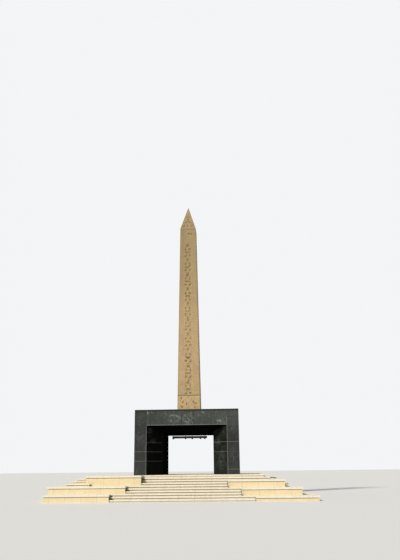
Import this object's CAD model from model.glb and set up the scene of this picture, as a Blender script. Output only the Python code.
import math

import bpy
from mathutils import Matrix, Vector


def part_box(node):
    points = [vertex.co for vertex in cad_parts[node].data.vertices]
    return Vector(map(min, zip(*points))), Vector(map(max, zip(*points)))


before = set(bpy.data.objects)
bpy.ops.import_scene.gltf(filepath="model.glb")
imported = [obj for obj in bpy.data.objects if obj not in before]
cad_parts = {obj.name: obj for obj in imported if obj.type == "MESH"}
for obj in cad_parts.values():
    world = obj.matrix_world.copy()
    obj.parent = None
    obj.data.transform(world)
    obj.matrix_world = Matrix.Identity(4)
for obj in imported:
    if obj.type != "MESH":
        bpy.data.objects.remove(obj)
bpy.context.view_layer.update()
print("stage: frame loaded,", len(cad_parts), "nodes")

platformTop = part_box("platform_paving")[1].z
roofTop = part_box("roof_slab")[1].z
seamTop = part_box("obelisk_foot")[1].z
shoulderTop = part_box("obelisk_shaft")[1].z


# small helpers for building node trees

def place(tree, kind, **values):
    node = tree.nodes.new(kind)
    for name, value in values.items():
        if hasattr(node, name):
            setattr(node, name, value)
        else:
            node.inputs[name].default_value = value
    return node


def join(tree, source, target):
    tree.links.new(source, target)


def math2(tree, operation, a, b=None, clamp=False):
    node = tree.nodes.new("ShaderNodeMath")
    node.operation = operation
    node.use_clamp = clamp
    for socket, value in zip(node.inputs, (a, b)):
        if isinstance(value, (int, float)):
            socket.default_value = value
        elif value is not None:
            tree.links.new(value, socket)
    return node.outputs[0]


def times(tree, a, b, clamp=False):
    return math2(tree, "MULTIPLY", a, b, clamp)


def absolute(tree, value):
    return math2(tree, "ABSOLUTE", value)


def gap(tree, value, where):
    return absolute(tree, math2(tree, "SUBTRACT", value, where))


def above(tree, value, limit):
    return math2(tree, "GREATER_THAN", value, limit)


def below(tree, value, limit):
    return math2(tree, "LESS_THAN", value, limit)


def stronger(tree, a, b):
    return math2(tree, "MAXIMUM", a, b)


def addUp(tree, *parts, clamp=False):
    # masks added up, each times its share
    total = 0.0
    for mask, share in parts:
        total = math2(tree, "ADD", total, times(tree, mask, share), clamp)
    return total


def mixColour(tree, factor, a, b, blend="MIX"):
    node = tree.nodes.new("ShaderNodeMix")
    node.data_type = "RGBA"
    node.blend_type = blend
    for socket, value in ((node.inputs[0], factor), (node.inputs[6], a), (node.inputs[7], b)):
        if isinstance(value, (int, float)):
            socket.default_value = value
        elif isinstance(value, tuple):
            socket.default_value = value + (1.0,)
        else:
            tree.links.new(value, socket)
    return node.outputs[2]


def tint(tree, colour, tone, mask, share):
    return mixColour(tree, times(tree, mask, share), colour, tone)


def rampMask(tree, value, low, high):
    # 0 at low and 1 at high, which may be the smaller of the two
    node = tree.nodes.new("ShaderNodeMapRange")
    node.interpolation_type = "SMOOTHSTEP"
    for name, limit in (("From Min", low), ("From Max", high)):
        if isinstance(limit, (int, float)):
            node.inputs[name].default_value = limit
        else:
            join(tree, limit, node.inputs[name])
    join(tree, value, node.inputs["Value"])
    return node.outputs[0]


def newGroup(name, inputs, outputs):
    tree = bpy.data.node_groups.new(name, "ShaderNodeTree")
    for label, value in inputs:
        kind = "NodeSocketVector" if value is None else "NodeSocketFloat"
        socket = tree.interface.new_socket(name=label, in_out="INPUT", socket_type=kind)
        if value is not None:
            socket.default_value = value
    for label in outputs:
        tree.interface.new_socket(name=label, in_out="OUTPUT", socket_type="NodeSocketFloat")
    return tree, tree.nodes.new("NodeGroupInput").outputs, tree.nodes.new("NodeGroupOutput").inputs


def useGroup(tree, group, **values):
    node = tree.nodes.new("ShaderNodeGroup")
    node.node_tree = group
    for name, value in values.items():
        if isinstance(value, (int, float)):
            node.inputs[name].default_value = value
        else:
            join(tree, value, node.inputs[name])
    return node.outputs


# effects that several stones share
effects = {
    "cloudNoise": {"Detail": 6.0, "Roughness": 0.62, "Distortion": 0.4},
    "cloudLevel": 0.5,  # the noise value in the middle of a patch's edge
    "brightGrains": (0.72, 0.95),  # cell values at which a grain begins and is full
    "darkGrains": (0.70, 0.95),
    "streakNoise": {"Scale": 1.0, "Detail": 4.0, "Roughness": 0.55},
    "streakReach": (0.48, 0.72),
    "lineEdge": 1.5,  # a line is full to half its width and gone at this many widths
}


def cloudGroup():
    # patches with finer ones inside, their edges as soft as Softness says
    tree, given, out = newGroup(
        "stoneClouds", [("Position", None), ("Size", 1.0), ("Softness", 0.12)], ["Mask"])
    noise = place(tree, "ShaderNodeTexNoise", **effects["cloudNoise"])
    join(tree, given["Position"], noise.inputs["Vector"])
    join(tree, math2(tree, "DIVIDE", 1.0, given["Size"]), noise.inputs["Scale"])
    low = math2(tree, "SUBTRACT", effects["cloudLevel"], given["Softness"])
    high = math2(tree, "ADD", effects["cloudLevel"], given["Softness"])
    join(tree, rampMask(tree, noise.outputs[0], low, high), out["Mask"])
    return tree


def speckleGroup():
    # mineral grains: bright and dark crystals at a grain size in metres
    tree, given, out = newGroup(
        "mineralGrain", [("Position", None), ("Grain", 0.02)], ["Bright", "Dark", "Height"])
    cells = place(tree, "ShaderNodeTexVoronoi", feature="F1")
    join(tree, given["Position"], cells.inputs["Vector"])
    join(tree, math2(tree, "DIVIDE", 1.0, given["Grain"]), cells.inputs["Scale"])
    tone = tree.nodes.new("ShaderNodeSeparateColor")
    join(tree, cells.outputs["Color"], tone.inputs[0])
    join(tree, rampMask(tree, tone.outputs[0], *effects["brightGrains"]), out["Bright"])
    join(tree, rampMask(tree, tone.outputs[1], *effects["darkGrains"]), out["Dark"])
    join(tree, tone.outputs[2], out["Height"])
    return tree


def lineMask(tree, distance, width):
    far = math2(tree, "DIVIDE", distance, width)
    return math2(tree, "SUBTRACT", effects["lineEdge"], far, clamp=True)


def jointGroup():
    # one straight joint: 1 on the line at Place, 0 beside it
    tree, given, out = newGroup("stoneJoint", [("Along", 0.0), ("Place", 0.0), ("Width", 0.008)], ["Mask"])
    join(tree, lineMask(tree, gap(tree, given["Along"], given["Place"]), given["Width"]), out["Mask"])
    return tree


def coursesGroup():
    # joints repeated at an even spacing, the first one at Start
    tree, given, out = newGroup(
        "evenJoints", [("Along", 0.0), ("Start", 0.0), ("Spacing", 1.0), ("Width", 0.008)], ["Mask", "Index"])
    shifted = math2(tree, "SUBTRACT", given["Along"], given["Start"])
    near = math2(tree, "PINGPONG", shifted, times(tree, given["Spacing"], 0.5))
    join(tree, lineMask(tree, near, given["Width"]), out["Mask"])
    join(tree, math2(tree, "FLOOR", math2(tree, "DIVIDE", shifted, given["Spacing"])), out["Index"])
    return tree


def streakGroup():
    # rain marks: noise stretched down the stone
    tree, given, out = newGroup("rainStreaks", [("Position", None), ("Width", 0.1), ("Length", 2.0)], ["Mask"])
    parts = tree.nodes.new("ShaderNodeSeparateXYZ")
    join(tree, given["Position"], parts.inputs[0])
    packed = tree.nodes.new("ShaderNodeCombineXYZ")
    for axis, divisor in enumerate(("Width", "Width", "Length")):
        join(tree, math2(tree, "DIVIDE", parts.outputs[axis], given[divisor]), packed.inputs[axis])
    noise = place(tree, "ShaderNodeTexNoise", **effects["streakNoise"])
    join(tree, packed.outputs[0], noise.inputs["Vector"])
    join(tree, rampMask(tree, noise.outputs[0], *effects["streakReach"]), out["Mask"])
    return tree


stoneClouds = cloudGroup()
mineralGrain = speckleGroup()
stoneJoint = jointGroup()
evenJoints = coursesGroup()
rainStreaks = streakGroup()
print("stage: shared effects built")


def clouds(tree, position, patch, softness):
    return useGroup(tree, stoneClouds, Position=position, Size=patch, Softness=softness)[0]


def streaks(tree, position, width, length):
    return useGroup(tree, rainStreaks, Position=position, Width=width, Length=length)[0]


def lineAt(tree, along, where, width):
    return useGroup(tree, stoneJoint, Along=along, Place=where, Width=width)[0]


def startMaterial(name, roughness, specular):
    material = bpy.data.materials.new(name)
    material.use_nodes = True
    tree = material.node_tree
    shader = tree.nodes["Principled BSDF"]
    shader.inputs["Roughness"].default_value = roughness
    shader.inputs["Specular IOR Level"].default_value = specular
    position = tree.nodes.new("ShaderNodeTexCoord").outputs["Object"]
    parts = tree.nodes.new("ShaderNodeSeparateXYZ")
    join(tree, position, parts.inputs[0])
    return material, tree, shader, position, parts.outputs


def addBump(tree, shader, height, distance, strength):
    bump = place(tree, "ShaderNodeBump", Strength=strength, Distance=distance)
    join(tree, height, bump.inputs["Height"])
    join(tree, bump.outputs[0], shader.inputs["Normal"])


def dress(material, *names):
    for name in names:
        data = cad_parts[name].data
        data.materials.clear()
        data.materials.append(material)


obeliskStone = {
    "warm": (0.460, 0.325, 0.152),
    "pink": (0.44, 0.27, 0.16),
    "pale": (0.57, 0.445, 0.225),
    "ochre": (0.50, 0.365, 0.145),
    "stain": (0.24, 0.18, 0.10),
    "carved": (0.20, 0.13, 0.06),
    "grime": (0.20, 0.15, 0.07),
    "footWarm": (0.60, 0.41, 0.205),
    "rubbed": (0.68, 0.54, 0.30),
    "speckBright": (0.62, 0.52, 0.34),
    "speckDark": (0.19, 0.13, 0.08),
    # clouds: size in metres, softness of their edges
    "patches": (1.7, 0.12),
    "blotches": (0.6, 0.07),
    "small": (0.35, 0.16),
    "worked": (0.22, 0.05),
    "flecks": (0.08, 0.05),
    "nicks": (0.13, 0.03),
    "bold": (0.9, 0.06),
    "streaks": (0.16, 2.6),  # width and length of a rain mark
    "grain": 0.022,
    # how strongly each shows
    "patchShare": 0.8,
    "blotchShare": 0.55,
    "smallShare": 0.42,
    "streakShare": 0.30,
    "grainShare": 0.35,
    "footShare": 0.50,
    "workedShare": 0.35,
    "fleckShare": 0.30,
    "nickShare": 0.22,
    "sideShare": 0.60,
    "arrisShare": 0.6,
    "upperGrime": 0.50,
    "leftGrime": 0.22,
    "bedShare": 0.9,
    "shoulderShare": 0.7,
    # where they lie
    "seamBlur": 0.02,
    "columnHalf": 0.33,
    "columnBlur": 0.06,
    "nickInset": 0.04,
    "sideInset": 0.01,
    "arrisReach": (0.06, 0.01),
    "leftRise": (14.1, 15.3),
    "leftReach": (0.25, -0.5),
    "bedRise": 0.006,
    "bedReach": (0.055, 0.015),
    "shoulderDrop": 0.06,
    "shoulderReach": (0.065, 0.020),
    # the obelisk's form, which tells how deep a point lies under the face
    "footSide": 1.650,
    "shoulderSide": 1.190,
    "tipHeight": 1.945,
    "carvingDepths": (0.002, 0.016),
    # dirt in the carvings: at least, and more by small and bold clouds and on the lowest stone
    "carvedLeast": 0.42,
    "carvedSmall": 0.25,
    "carvedBold": 0.40,
    "carvedFoot": 0.35,
    "faintHeight": 12.3,
    "faintReach": (2.4, 1.44),
    "faintShare": 0.45,
    "roughness": (0.62, 0.20),  # least, and more on the small clouds
    "specular": 0.3,
    "grainHeight": 0.25,
    "bump": (0.006, 0.5),  # distance and strength
}


def obeliskMaterial():
    s = obeliskStone
    material, tree, shader, position, axes = startMaterial("obeliskStone", s["roughness"][0], s["specular"])
    small = clouds(tree, position, *s["small"])
    grain = useGroup(tree, mineralGrain, Position=position, Grain=s["grain"])
    colour = tint(tree, s["warm"], s["pink"], clouds(tree, position, *s["patches"]), s["patchShare"])
    colour = tint(tree, colour, s["ochre"], clouds(tree, position, *s["blotches"]), s["blotchShare"])
    colour = tint(tree, colour, s["pale"], small, s["smallShare"])
    colour = tint(tree, colour, s["stain"], streaks(tree, position, *s["streaks"]), s["streakShare"])
    colour = tint(tree, colour, s["speckBright"], grain["Bright"], s["grainShare"])
    colour = tint(tree, colour, s["speckDark"], grain["Dark"], s["grainShare"])
    # the lowest stone is warmer than the shaft
    low = rampMask(tree, axes[2], seamTop + s["seamBlur"], seamTop - s["seamBlur"])
    colour = tint(tree, colour, s["footWarm"], low, s["footShare"])
    worked = times(tree, low, clouds(tree, position, *s["worked"]))
    colour = tint(tree, colour, s["rubbed"], worked, s["workedShare"])
    # rubbed flecks and dark nicks between the signs of the column
    acrossX, acrossY = absolute(tree, axes[0]), absolute(tree, axes[1])
    across = math2(tree, "MINIMUM", acrossX, acrossY)
    column = rampMask(tree, across, s["columnHalf"], s["columnHalf"] - s["columnBlur"])
    flecks = times(tree, column, clouds(tree, position, *s["flecks"]))
    colour = tint(tree, colour, s["rubbed"], flecks, s["fleckShare"])
    nickHalf = s["columnHalf"] - s["nickInset"]
    column = rampMask(tree, across, nickHalf, nickHalf - s["columnBlur"])
    nicks = times(tree, column, clouds(tree, position, *s["nicks"]))
    colour = tint(tree, colour, s["carved"], nicks, s["nickShare"])
    # how far a point lies inside the leaning face tells the floor of a carving
    taper = (s["footSide"] - s["shoulderSide"]) / 2 / (shoulderTop - roofTop)
    rise = math2(tree, "SUBTRACT", axes[2], roofTop)
    half = math2(tree, "SUBTRACT", s["footSide"] / 2, times(tree, rise, taper))
    drop = math2(tree, "SUBTRACT", shoulderTop + s["tipHeight"], axes[2])
    half = math2(tree, "MINIMUM", half, times(tree, drop, s["shoulderSide"] / 2 / s["tipHeight"]))
    depth = math2(tree, "SUBTRACT", half, stronger(tree, acrossX, acrossY))
    sunk = rampMask(tree, depth, *s["carvingDepths"])
    bold = clouds(tree, position, *s["bold"])
    worn = addUp(tree, (small, s["carvedSmall"]), (bold, s["carvedBold"]), (low, s["carvedFoot"]))
    worn = math2(tree, "ADD", worn, s["carvedLeast"], clamp=True)
    # the signs are most worn in the middle of the shaft
    faint = rampMask(tree, gap(tree, axes[2], s["faintHeight"]), *s["faintReach"])
    worn = times(tree, worn, math2(tree, "SUBTRACT", 1.0, times(tree, faint, s["faintShare"])))
    colour = tint(tree, colour, s["carved"], sunk, worn)
    # darker patina on the two sides, and dirt along the four arrises
    sides = above(tree, acrossX, math2(tree, "ADD", acrossY, s["sideInset"]))
    colour = tint(tree, colour, s["stain"], sides, s["sideShare"])
    arris = rampMask(tree, math2(tree, "SUBTRACT", half, across), *s["arrisReach"])
    colour = tint(tree, colour, s["stain"], arris, s["arrisShare"])
    # the stone darkens upwards, the more so on the left, and grime gathers at both ends of the shaft
    upper = rampMask(tree, axes[2], seamTop, shoulderTop)
    colour = tint(tree, colour, s["grime"], upper, s["upperGrime"])
    left = times(tree, rampMask(tree, axes[2], *s["leftRise"]), rampMask(tree, axes[0], *s["leftReach"]))
    colour = tint(tree, colour, s["grime"], left, s["leftGrime"])
    bed = rampMask(tree, gap(tree, axes[2], seamTop + s["bedRise"]), *s["bedReach"])
    colour = tint(tree, colour, s["stain"], bed, s["bedShare"])
    edge = rampMask(tree, gap(tree, axes[2], shoulderTop - s["shoulderDrop"]), *s["shoulderReach"])
    colour = tint(tree, colour, s["stain"], edge, s["shoulderShare"])
    join(tree, colour, shader.inputs["Base Color"])
    least, more = s["roughness"]
    join(tree, math2(tree, "ADD", least, times(tree, small, more)), shader.inputs["Roughness"])
    addBump(tree, shader, addUp(tree, (grain["Height"], s["grainHeight"]), (small, 1.0)), *s["bump"])
    return material


dress(obeliskMaterial(), "obelisk_foot", "obelisk_shaft", "obelisk_tip")

portalStone = {
    "deep": (0.017, 0.021, 0.018),
    "cloud": (0.060, 0.069, 0.057),
    "vein": (0.17, 0.18, 0.165),
    "swirl": (0.30, 0.32, 0.31),
    "speckBright": (0.15, 0.16, 0.145),
    "joint": (0.004, 0.004, 0.004),
    "arris": (0.30, 0.31, 0.29),
    "big": (1.1, 0.14),  # clouds: size, softness
    "fine": (0.16, 0.10),
    "streaks": (0.07, 1.4),
    "grain": 0.012,
    "jointWidth": 0.011,
    "edgeWidth": 0.016,
    "arrisWidth": 0.02,
    "rimWidth": 0.005,
    # how strongly each shows
    "bigShare": 0.35,
    "fineShare": 0.2,
    "panelShare": 0.35,
    "dimShare": 0.6,
    "lightShare": 0.2,
    "streakShare": 0.15,
    "veinShare": 0.35,
    "grainShare": 0.25,
    "arrisShare": 0.35,
    "edgeShare": 0.5,  # less on a shaded piece, which keeps this much of it
    "edgeLift": 0.3,
    "rimShare": 0.7,
    "bump": (0.004, 0.6),
    "levelWeight": 17.0,  # keeps the tones of panels above each other apart
    "toneStart": 20.6,
    # thin veins all over
    "bands": {"Scale": 0.55, "Distortion": 9.0, "Detail": 4.0, "Detail Scale": 1.6},
    "bandReach": (0.93, 1.0),
    # pale veining, as hazy patches or as clear lines
    "cloudy": {"Scale": 1.5, "Detail": 5.0, "Roughness": 0.6, "Distortion": 1.8},
    "cloudyLine": {"reach": (0.06, 0.0), "line": 0.75, "haze": 0.22},
    "crisp": {"Scale": 1.3, "Detail": 2.0, "Roughness": 0.5, "Distortion": 1.6},
    "crispLine": {"reach": (0.045, 0.005), "line": 1.0, "haze": 0.10},
}

# what a panel of the portal has unless its own dictionary says otherwise
plainPanel = {
    "axis": 0,  # the upright joints are spread along this axis
    "upright": (),  # places of upright joints
    "level": (),  # heights of level joints over the platform
    "evenUpright": None,  # start and spacing of joints at an even spacing
    "evenLevel": None,
    "edges": (),  # heights of light lines along worn edges over the platform
    "arris": None,  # distance from the middle and top of an upright light edge
    "rim": None,  # distance from the middle of a dark outer edge
    "lift": 1.0,
    "patches": (),  # pale veining: x, height over the platform, half width, half height
    "paleness": 0.62,
    "veins": "cloudy",
    "dim": (),  # darker places, given as the patches are
    "light": (),  # lighter places
    "roughness": 0.3,
    "specular": 0.4,
}

portalPieces = {
    "pierStone_left": {
        "on": ("corner_pier_front_left", "corner_pier_back_left"),
        "level": (0.82, 1.405, 3.15),
        "edges": (0.895, 1.503),
        "arris": (2.705, 3.2),
        "lift": 1.5,
        "shade": 0.32,
        "dim": ((-3.05, 3.95, 0.8, 0.7),),
        "patches": ((-3.1, 3.6, 0.45, 0.6), (-3.1, 2.4, 0.45, 0.7)),
        "paleness": 0.12,
    },
    "pierStone_right": {
        "on": ("corner_pier_front_right", "corner_pier_back_right"),
        "level": (0.25, 2.20, 3.05, 3.745),
        "edges": (0.323, 2.095),
        "arris": (2.705, 3.7),
        "lift": 1.5,
        "shade": 0.32,
        "light": ((3.15, 3.85, 0.9, 0.9),),
        "patches": ((3.0, 1.0, 0.5, 1.0), (3.1, 3.0, 0.4, 0.5)),
        "paleness": 0.12,
    },
    "revealStone_left": {
        "on": ("reveal_front_left", "reveal_back_left"),
        "level": (0.82, 1.405),
        "edges": (0.895, 1.503, 2.10),
        "lift": 1.8,
        "shade": 0.06,
        "patches": ((-2.50, 2.80, 0.20, 0.40), (-2.30, 2.2, 0.22, 0.22)),
        "paleness": 0.16,
        "roughness": 0.75,
        "specular": 0.03,
    },
    "revealStone_right": {
        "on": ("reveal_front_right", "reveal_back_right"),
        "level": (0.95, 1.98, 2.20),
        "edges": (1.47, 2.095),
        "lift": 1.8,
        "shade": 0.24,
        "patches": ((2.30, 0.90, 0.34, 0.75), (2.05, 2.1, 0.25, 0.35)),
        "paleness": 0.16,
        "roughness": 0.75,
        "specular": 0.03,
    },
    "passageStone_left": {
        "on": ("passage_wall_left",),
        "level": (0.82, 1.405),
        "axis": 1,
        "evenUpright": (0.0, 1.48),
        "shade": 0.25,
        "roughness": 1.0,
        "specular": 0.0,
    },
    "passageStone_right": {
        "on": ("passage_wall_right",),
        "level": (0.95, 1.98, 2.20),
        "axis": 1,
        "evenUpright": (0.0, 1.48),
        "shade": 0.25,
        "roughness": 1.0,
        "specular": 0.0,
    },
    "sideStone": {
        "on": ("side_wall_left", "side_wall_right"),
        "axis": 1,
        "evenUpright": (0.0, 1.35),
        "evenLevel": (platformTop, 0.83),
        "shade": 0.8,
    },
    "lintelStone": {
        "on": ("lintel_front", "lintel_back"),
        "upright": (-2.45, -1.31, -0.34, 0.48, 1.65),
        "edges": (3.225,),
        "lift": 1.25,
        "shade": 0.9,
        "veins": "crisp",
        "dim": ((-2.35, 3.75, 0.9, 1.0),),
        "patches": (
            (-0.85, 3.62, 0.50, 0.38), (0.10, 3.65, 0.48, 0.50), (0.90, 3.95, 0.42, 0.22),
            (-2.6, 4.05, 0.35, 0.12), (2.30, 3.45, 0.30, 0.14), (2.72, 3.75, 0.12, 0.30)),
    },
    "ceilingStone": {
        "on": ("ceiling", "reveal_front_top", "reveal_back_top"),
        "evenUpright": (0.0, 1.35),
        "shade": 0.05,
        "roughness": 1.0,
        "specular": 0.0,
    },
    "roofStone": {
        "on": ("roof_slab",),
        "evenUpright": (0.0, 1.17),
        "shade": 0.8,
        "rim": 3.5,
        "roughness": 0.6,
        "specular": 0.25,
    },
}


def patchMask(tree, axes, patches):
    # 1 in the middle of each patch, 0 outside
    mask = 0.0
    for x, z, halfWidth, halfHeight in patches:
        across = math2(tree, "DIVIDE", math2(tree, "SUBTRACT", axes[0], x), halfWidth)
        up = math2(tree, "DIVIDE", math2(tree, "SUBTRACT", axes[2], platformTop + z), halfHeight)
        far = math2(tree, "ADD", times(tree, across, across), times(tree, up, up))
        mask = stronger(tree, mask, math2(tree, "SUBTRACT", 1.0, far, clamp=True))
    return mask


def paleVeining(tree, position, axes, fine, piece):
    # veins along one level of a noise, kept to the patches that the piece names
    noise = place(tree, "ShaderNodeTexNoise", **portalStone[piece["veins"]])
    line = portalStone[piece["veins"] + "Line"]
    join(tree, position, noise.inputs["Vector"])
    ridge = rampMask(tree, gap(tree, noise.outputs[0], 0.5), *line["reach"])
    pale = addUp(tree, (ridge, line["line"]), (fine, line["haze"]), clamp=True)
    return times(tree, pale, patchMask(tree, axes, piece["patches"]))


def panelJoints(tree, axes, piece):
    # the joints between the panels, and a number that differs from panel to panel
    s = portalStone
    along = axes[piece["axis"]]
    lines = [(along, x) for x in piece["upright"]] + [(axes[2], platformTop + z) for z in piece["level"]]
    joints = panel = 0.0
    for line, where in lines:
        joints = stronger(tree, joints, lineAt(tree, line, where, s["jointWidth"]))
        panel = math2(tree, "ADD", panel, above(tree, line, where))
    courses = (along, piece["evenUpright"], 1.0), (axes[2], piece["evenLevel"], s["levelWeight"])
    for line, even, weight in courses:
        if even:
            start, spacing = even
            course = useGroup(tree, evenJoints, Along=line, Start=start, Spacing=spacing, Width=s["jointWidth"])
            joints = stronger(tree, joints, course["Mask"])
            panel = math2(tree, "ADD", panel, times(tree, course["Index"], weight))
    return joints, panel


def portalMaterial(name, changes):
    s = portalStone
    piece = {**plainPanel, **changes}
    lift, shade = piece["lift"], piece["shade"]
    material, tree, shader, position, axes = startMaterial(name, piece["roughness"], piece["specular"])
    fine = clouds(tree, position, *s["fine"])
    joints, panel = panelJoints(tree, axes, piece)
    tone = place(tree, "ShaderNodeTexWhiteNoise", noise_dimensions="1D")
    join(tree, math2(tree, "ADD", panel, s["toneStart"]), tone.inputs["W"])
    cloud = addUp(
        tree,
        (clouds(tree, position, *s["big"]), s["bigShare"]),
        (fine, s["fineShare"]),
        (tone.outputs["Value"], s["panelShare"]),
        (streaks(tree, position, *s["streaks"]), s["streakShare"]))
    colour = mixColour(tree, times(tree, cloud, lift, clamp=True), s["deep"], s["cloud"])
    bands = place(tree, "ShaderNodeTexWave", wave_type="BANDS", **s["bands"])
    join(tree, position, bands.inputs["Vector"])
    vein = times(tree, rampMask(tree, bands.outputs["Fac"], *s["bandReach"]), fine)
    colour = tint(tree, colour, s["vein"], vein, s["veinShare"] * lift)
    grain = useGroup(tree, mineralGrain, Position=position, Grain=s["grain"])
    colour = tint(tree, colour, s["speckBright"], grain["Bright"], s["grainShare"] * lift)
    colour = mixColour(tree, 1.0, colour, (shade, shade, shade), "MULTIPLY")
    for places, aim in ("dim", "deep"), ("light", "vein"):
        if piece[places]:
            mask = patchMask(tree, axes, piece[places])
            colour = tint(tree, colour, s[aim], mask, s[places + "Share"])
    if piece["patches"]:
        veining = paleVeining(tree, position, axes, fine, piece)
        colour = tint(tree, colour, s["swirl"], veining, piece["paleness"])
    if piece["arris"]:
        distance, top = piece["arris"]
        edge = lineAt(tree, absolute(tree, axes[0]), distance, s["arrisWidth"])
        edge = times(tree, edge, below(tree, axes[2], platformTop + top))
        colour = tint(tree, colour, s["arris"], edge, s["arrisShare"])
    for z in piece["edges"]:
        edge = lineAt(tree, axes[2], platformTop + z, s["edgeWidth"])
        colour = tint(tree, colour, s["arris"], edge, s["edgeShare"] * min(1.0, shade + s["edgeLift"]))
    if piece["rim"]:
        outer = stronger(tree, absolute(tree, axes[0]), absolute(tree, axes[1]))
        outer = above(tree, outer, piece["rim"] - s["rimWidth"])
        colour = tint(tree, colour, s["joint"], outer, s["rimShare"])
    colour = mixColour(tree, joints, colour, s["joint"])
    join(tree, colour, shader.inputs["Base Color"])
    addBump(tree, shader, math2(tree, "SUBTRACT", 1.0, joints), *s["bump"])
    return material


for name, piece in portalPieces.items():
    dress(portalMaterial(name, piece), *piece["on"])

podiumStone = {
    # light and warm tone of each kind of stone
    "tread": ((0.87, 0.83, 0.71), (0.81, 0.75, 0.60)),
    "block": ((0.84, 0.73, 0.48), (0.77, 0.63, 0.38)),
    "riser": ((0.80, 0.72, 0.57), (0.68, 0.60, 0.45)),
    "core": ((0.89, 0.79, 0.59), (0.82, 0.66, 0.44)),
    "dirt": (0.30, 0.24, 0.17),
    "soil": (0.06, 0.045, 0.03),
    "soft": (0.8, 0.2),  # clouds: size, softness
    "spots": (0.12, 0.18),
    "grain": 0.010,
    "roughness": 0.65,
    "specular": 0.2,
    "grainHeight": 0.2,
    "bump": (0.004, 0.4),
    "jointWidth": 0.007,
    "panelStart": (-5.02, 0.48),  # a joint's place along x and along y
    "panelLength": 0.958,
    "course": 0.15,
    # how strongly each shows
    "softShare": 0.5,
    "panelShare": 0.45,
    "spotShare": 0.12,
    "grainShare": 0.12,
    "underShare": 0.75,
    "besideShare": 0.85,
    "backShare": 0.7,
    "endShare": 0.6,
    "nosingShare": 0.85,
    # dirt under a coping, on a face that steps run against, and behind a tread
    "underDrop": 0.014,
    "underWidth": 0.016,
    "besideWidth": 0.004,
    "backInset": 0.03,
    "backWidth": 0.02,
    # soiled corners where a tread meets a block: side, distance from the middle, low, high, reach
    "stepEnds": (
        (-1, 2.685, 0.95, 1.45, 0.14), (-1, 3.510, 0.50, 0.85, 0.14), (-1, 4.325, 0.02, 0.40, 0.14),
        (1, 2.685, 0.85, 1.15, 0.05), (1, 3.510, 0.40, 0.70, 0.05), (1, 4.325, 0.02, 0.25, 0.05)),
    "endCore": 0.01,
    # dark line under every nosing: the steps' rise, its start, and its height from and to
    "nosing": (0.15, 0.08, 0.102, 0.138),
}

# a piece may have: under, height of its coping's underside; beside, the distance, low and high of
# the face that steps run against; backs, the axis and distances of the dirt behind each tread;
# ends, the soiled corners beside the blocks; nosings, the dark line under each nosing
podiumPieces = {
    "treadStone": {"on": ("copings", "corner_treads"), "stone": "tread", "joint": 0.35},
    "pavingStone": {"on": ("platform_paving",), "stone": "tread", "joint": 0.6},
    "stepStone_front": {
        "on": ("treads_front", "treads_back"),
        "stone": "tread",
        "joint": 0.35,
        "backs": (1, (5.00, 5.34, 5.68, 6.02, 6.36, 6.70, 7.04, 7.38, 7.72)),
        "ends": True,
    },
    "stepStone_right": {
        "on": ("treads_right",),
        "stone": "tread",
        "joint": 0.35,
        "backs": (0, (5.00, 5.34, 5.80, 6.26, 6.573, 6.887, 7.20, 7.487, 7.773)),
    },
    "stepStone_left": {
        "on": ("treads_left",),
        "stone": "tread",
        "joint": 0.35,
        "backs": (0, (6.17, 6.675, 7.01, 7.33, 7.65, 7.97)),
    },
    "wideStone": {"on": ("flight_left", "corner_steps_left"), "stone": "block", "joint": 0.7, "nosings": True},
    "riserStone": {
        "on": ("flight_front", "flight_back", "flight_right"),
        "stone": "riser",
        "joint": 0.7,
        "nosings": True,
        "ends": True,
    },
    "coreStone": {"on": ("platform_core",), "stone": "core", "joint": 0.7},
}
# the blocks, tier by tier: height of the coping's underside, and the face that the steps run against
blockTiers = {
    "left_upper": (1.39, (2.685, 0.90, 1.40)),
    "left_middle": (0.79, (3.510, 0.45, 0.80)),
    "left_lower": (0.34, (4.325, 0.0, 0.35)),
    "right_upper": (1.09, (2.685, 0.75, 1.10)),
    "right_middle": (0.64, (3.510, 0.30, 0.65)),
    "right_lower": (0.19, (4.325, 0.0, 0.20)),
}
for tier, (underside, face) in blockTiers.items():
    podiumPieces["blockStone_" + tier] = {
        "on": ("block_front_" + tier, "block_back_" + tier),
        "stone": "block",
        "joint": 0.5,
        "under": underside,
        "beside": face,
    }


def between(tree, value, low, high):
    return times(tree, above(tree, value, low), below(tree, value, high))


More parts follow.
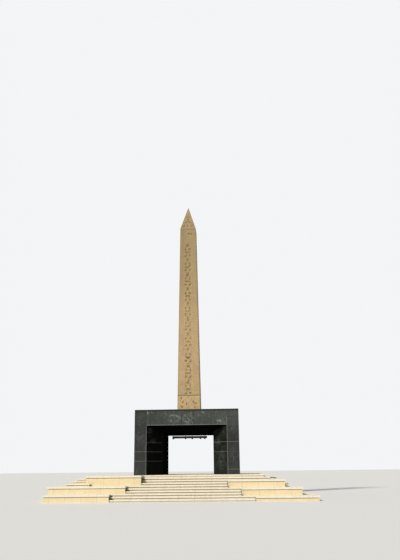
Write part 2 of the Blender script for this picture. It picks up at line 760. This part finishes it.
def podiumMaterial(name, piece):
    s = podiumStone
    light, warm = s[piece["stone"]]
    material, tree, shader, position, axes = startMaterial(name, s["roughness"], s["specular"])
    # panels of slightly different tone
    cell = tree.nodes.new("ShaderNodeCombineXYZ")
    joints = 0.0
    for axis, start in enumerate(s["panelStart"]):
        course = useGroup(
            tree, evenJoints, Along=axes[axis], Start=start, Spacing=s["panelLength"], Width=s["jointWidth"])
        joints = stronger(tree, joints, course["Mask"])
        join(tree, course["Index"], cell.inputs[axis])
    join(tree, math2(tree, "FLOOR", math2(tree, "DIVIDE", axes[2], s["course"])), cell.inputs[2])
    tone = tree.nodes.new("ShaderNodeTexWhiteNoise")
    join(tree, cell.outputs[0], tone.inputs["Vector"])
    grain = useGroup(tree, mineralGrain, Position=position, Grain=s["grain"])
    colour = tint(tree, light, warm, clouds(tree, position, *s["soft"]), s["softShare"])
    colour = tint(tree, colour, warm, tone.outputs["Value"], s["panelShare"])
    colour = tint(tree, colour, s["dirt"], clouds(tree, position, *s["spots"]), s["spotShare"])
    colour = tint(tree, colour, s["dirt"], grain["Dark"], s["grainShare"])
    colour = tint(tree, colour, s["dirt"], joints, piece["joint"])
    # dirt and soil where steps, copings and blocks meet
    if "under" in piece:
        line = lineAt(tree, axes[2], piece["under"] - s["underDrop"], s["underWidth"])
        colour = tint(tree, colour, s["soil"], line, s["underShare"])
    if "beside" in piece:
        distance, low, high = piece["beside"]
        tier = between(tree, axes[2], low, high)
        for axis in (0, 1):
            face = lineAt(tree, absolute(tree, axes[axis]), distance, s["besideWidth"])
            colour = tint(tree, colour, s["soil"], times(tree, face, tier), s["besideShare"])
    if "backs" in piece:
        axis, distances = piece["backs"]
        for distance in distances:
            line = lineAt(tree, absolute(tree, axes[axis]), distance + s["backInset"], s["backWidth"])
            colour = tint(tree, colour, s["dirt"], line, s["backShare"])
    for side, distance, low, high, reach in s["stepEnds"] if piece.get("ends") else ():
        near = gap(tree, times(tree, axes[0], side), distance)
        band = times(tree, rampMask(tree, near, reach, s["endCore"]), between(tree, axes[2], low, high))
        colour = tint(tree, colour, s["soil"], band, s["endShare"])
    if piece.get("nosings"):
        pitch, start, low, high = s["nosing"]
        rise = math2(tree, "MODULO", math2(tree, "SUBTRACT", axes[2], start), pitch)
        colour = tint(tree, colour, s["soil"], rampMask(tree, rise, low, high), s["nosingShare"])
    join(tree, colour, shader.inputs["Base Color"])
    height = math2(tree, "SUBTRACT", times(tree, grain["Height"], s["grainHeight"]), joints)
    addBump(tree, shader, height, *s["bump"])
    return material


for name, piece in podiumPieces.items():
    dress(podiumMaterial(name, piece), *(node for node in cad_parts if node.startswith(piece["on"])))

barMetal = {
    "paint": (0.022, 0.022, 0.024),
    "dust": (0.10, 0.10, 0.10),
    "clouds": (0.15, 0.2),
    "dustShare": 0.4,
    "roughness": (0.35, 0.25),  # least, and more under the dust
    "specular": 0.5,
}


def barMaterial():
    s = barMetal
    least, more = s["roughness"]
    material, tree, shader, position, axes = startMaterial("barMetal", least, s["specular"])
    dust = clouds(tree, position, *s["clouds"])
    join(tree, tint(tree, s["paint"], s["dust"], dust, s["dustShare"]), shader.inputs["Base Color"])
    join(tree, math2(tree, "ADD", least, times(tree, dust, more)), shader.inputs["Roughness"])
    return material


dress(barMaterial(), "light_bar", "light_bar_rods", "light_bar_lamps")
print("stage: materials placed")

# floor and light
stage = {
    "floorColour": (0.74, 0.74, 0.73),
    "floorSize": 900,
    "floorRoughness": 0.9,
    "floorSpecular": 0.1,
    "sky": (0.90, 0.91, 0.92),
    "fill": 0.30,
    "key": 3.35,
    "keyAngle": 6.0,  # degrees, for soft shadows
    "keyColour": (1.0, 0.965, 0.91),
    "keyPlace": (-30, -40, 50),
    "keyWay": (0.50, 0.58, -0.64),
}

bpy.ops.object.select_all(action="DESELECT")
bpy.ops.mesh.primitive_plane_add(size=stage["floorSize"], location=(0, 0, 0))
floor = bpy.context.object
floor.name = "floor"
floorMaterial, tree, shader, position, axes = startMaterial(
    "floorPaint", stage["floorRoughness"], stage["floorSpecular"])
shader.inputs["Base Color"].default_value = stage["floorColour"] + (1.0,)
floor.data.materials.append(floorMaterial)

world = bpy.data.worlds.new("studio")
bpy.context.scene.world = world
world.use_nodes = True
tree = world.node_tree
tree.nodes.clear()
path = tree.nodes.new("ShaderNodeLightPath")
seen = math2(tree, "MAXIMUM", path.outputs["Is Camera Ray"], path.outputs["Is Glossy Ray"], clamp=True)
seen = math2(tree, "MAXIMUM", seen, path.outputs["Is Transmission Ray"], clamp=True)
fill = place(tree, "ShaderNodeBackground", Color=(1.0, 1.0, 1.0, 1.0), Strength=stage["fill"])
backdrop = place(tree, "ShaderNodeBackground", Color=stage["sky"] + (1.0,), Strength=1.0)
blend = tree.nodes.new("ShaderNodeMixShader")
join(tree, seen, blend.inputs[0])
join(tree, fill.outputs[0], blend.inputs[1])
join(tree, backdrop.outputs[0], blend.inputs[2])
join(tree, blend.outputs[0], tree.nodes.new("ShaderNodeOutputWorld").inputs[0])

bpy.ops.object.light_add(type="SUN", location=stage["keyPlace"])
key = bpy.context.object
key.data.energy = stage["key"]
key.data.angle = math.radians(stage["keyAngle"])
key.data.color = stage["keyColour"]
key.rotation_euler = Vector(stage["keyWay"]).to_track_quat("-Z", "Y").to_euler()

# camera fitted to the edges and corners measured in the photograph, angles in degrees
shot = {
    "place": (2.920, -48.822, 1.876),
    "pitch": 15.894,
    "yaw": 2.415,
    "roll": 0.620,
    "focalPixels": 662.77,
    "frameHeight": 560,
    "sensorWidth": 36.0,
    "clipEnd": 2000.0,
}
lens = bpy.data.cameras.new("photoCamera")
lens.sensor_width = shot["sensorWidth"]
lens.lens = shot["focalPixels"] * shot["sensorWidth"] / shot["frameHeight"]
lens.clip_end = shot["clipEnd"]
camera = bpy.data.objects.new("photoCamera", lens)
bpy.context.scene.collection.objects.link(camera)
camera.matrix_world = (
    Matrix.Translation(shot["place"])
    @ Matrix.Rotation(math.radians(shot["yaw"]), 4, "Z")
    @ Matrix.Rotation(math.radians(90 + shot["pitch"]), 4, "X")
    @ Matrix.Rotation(math.radians(-shot["roll"]), 4, "Z")
)
bpy.context.scene.camera = camera
bpy.context.scene.view_settings.view_transform = "Standard"
print("stage: light and camera set")
